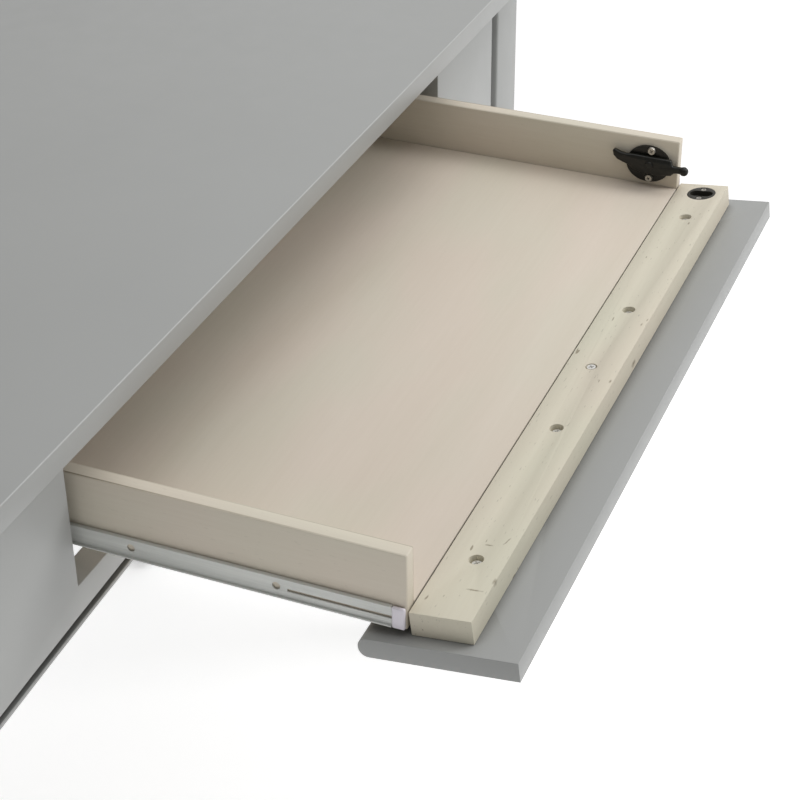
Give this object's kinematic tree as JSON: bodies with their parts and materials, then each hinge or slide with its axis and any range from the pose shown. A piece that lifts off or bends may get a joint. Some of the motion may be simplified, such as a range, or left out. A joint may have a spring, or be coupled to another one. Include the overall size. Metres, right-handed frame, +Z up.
{
  "type": "changing table",
  "caption": "Painted changing table with a plain top on square legs and a pull-out wooden tray whose drop front folds down and is held shut by a catch.",
  "frame": {"origin": "middle of the footprint on the floor, with the tray pulled out and its front folded down", "axes": "+X along the table's long side, to the right of someone in front; +Y from front to back; +Z up"},
  "size_m": [1.144, 0.8582, 0.877],
  "materials": {
    "painted_wood": "satin grey paint",
    "tray_wood": "pale wood, clear matt finish",
    "batten_wood": "raw pale wood with small knots",
    "runner_wood": "raw plywood",
    "zinc_steel": "zinc plated",
    "screw_steel": "zinc plated screw heads",
    "black_hinge": "black, satin",
    "black_catch": "black, satin",
    "white_plastic": "white with a cool tint",
    "glide_plastic": "black, matt"
  },
  "bodies": {
    "table": {"tabletop": "painted_wood", "front_panel": "painted_wood", "back_panel": "painted_wood", "side_panel_left": "painted_wood", "side_panel_right": "painted_wood", "runner_board_left": "runner_wood", "runner_board_right": "runner_wood", "slide_cabinet_left": "zinc_steel", "slide_cabinet_right": "zinc_steel", "leg_front_left": "painted_wood", "leg_front_right": "painted_wood", "leg_back_left": "painted_wood", "leg_back_right": "painted_wood", "glide_front_left": "glide_plastic", "glide_front_right": "glide_plastic", "glide_back_left": "glide_plastic", "glide_back_right": "glide_plastic", "corner_bracket_front_left": "zinc_steel", "corner_bracket_front_right": "zinc_steel", "corner_bracket_back_left": "zinc_steel", "corner_bracket_back_right": "zinc_steel", "corner_bolt_front_left": "zinc_steel", "corner_bolt_front_right": "zinc_steel", "corner_bolt_back_left": "zinc_steel", "corner_bolt_back_right": "zinc_steel"},
    "tray": {"tray_floor": "tray_wood", "tray_back": "tray_wood", "tray_side_left": "tray_wood", "tray_side_right": "tray_wood", "slide_drawer_left": "zinc_steel", "slide_drawer_right": "zinc_steel", "slide_bumper_left": "white_plastic", "slide_bumper_right": "white_plastic", "catch_plate": "black_catch", "catch_screw_upper": "screw_steel", "catch_screw_lower": "screw_steel", "catch_rivet": "black_catch", "hinge_leaf_tray": "black_hinge", "hinge_pin": "black_hinge"},
    "flap": {"flap_panel": "painted_wood", "flap_batten": "batten_wood", "hinge_leaf_flap": "black_hinge", "strike_cup": "black_catch", "strike_screw_left": "screw_steel", "strike_screw_right": "screw_steel", "batten_screw_1": "screw_steel", "batten_screw_2": "screw_steel", "batten_screw_3": "screw_steel", "batten_screw_4": "screw_steel", "batten_screw_5": "screw_steel"},
    "catch_lever": {"catch_lever": "black_catch"},
    "cage_left": {"ball_cage_left": "zinc_steel"},
    "cage_right": {"ball_cage_right": "zinc_steel"}
  },
  "joints": [
    {"name": "tray_slide", "type": "slide", "parent": "table", "child": "tray", "axis": [0, 1, 0], "range_m": [0, 0.2707]},
    {"name": "flap_hinge", "type": "hinge", "parent": "tray", "child": "flap", "pos_m": [0, -0.35049, 0.7727], "axis": [-1, 0, 0], "range_deg": [0, 83]},
    {"name": "catch_turn", "type": "hinge", "parent": "tray", "child": "catch_lever", "pos_m": [0.30215, -0.32409, 0.797], "axis": [-1, 0, 0], "range_deg": [0, 6], "stiffness_Nm_per_rad": 0.3, "springref_deg": -8.59},
    {"name": "cage_slide_left", "type": "slide", "parent": "table", "child": "cage_left", "axis": [0, 1, 0], "range_m": [0, 0.13535]},
    {"name": "cage_slide_right", "type": "slide", "parent": "table", "child": "cage_right", "axis": [0, 1, 0], "range_m": [0, 0.13535]}
  ],
  "couplings": [
    {"joint": "cage_slide_left", "follows": "tray_slide", "ratio": 0.5},
    {"joint": "cage_slide_right", "follows": "tray_slide", "ratio": 0.5}
  ]
}
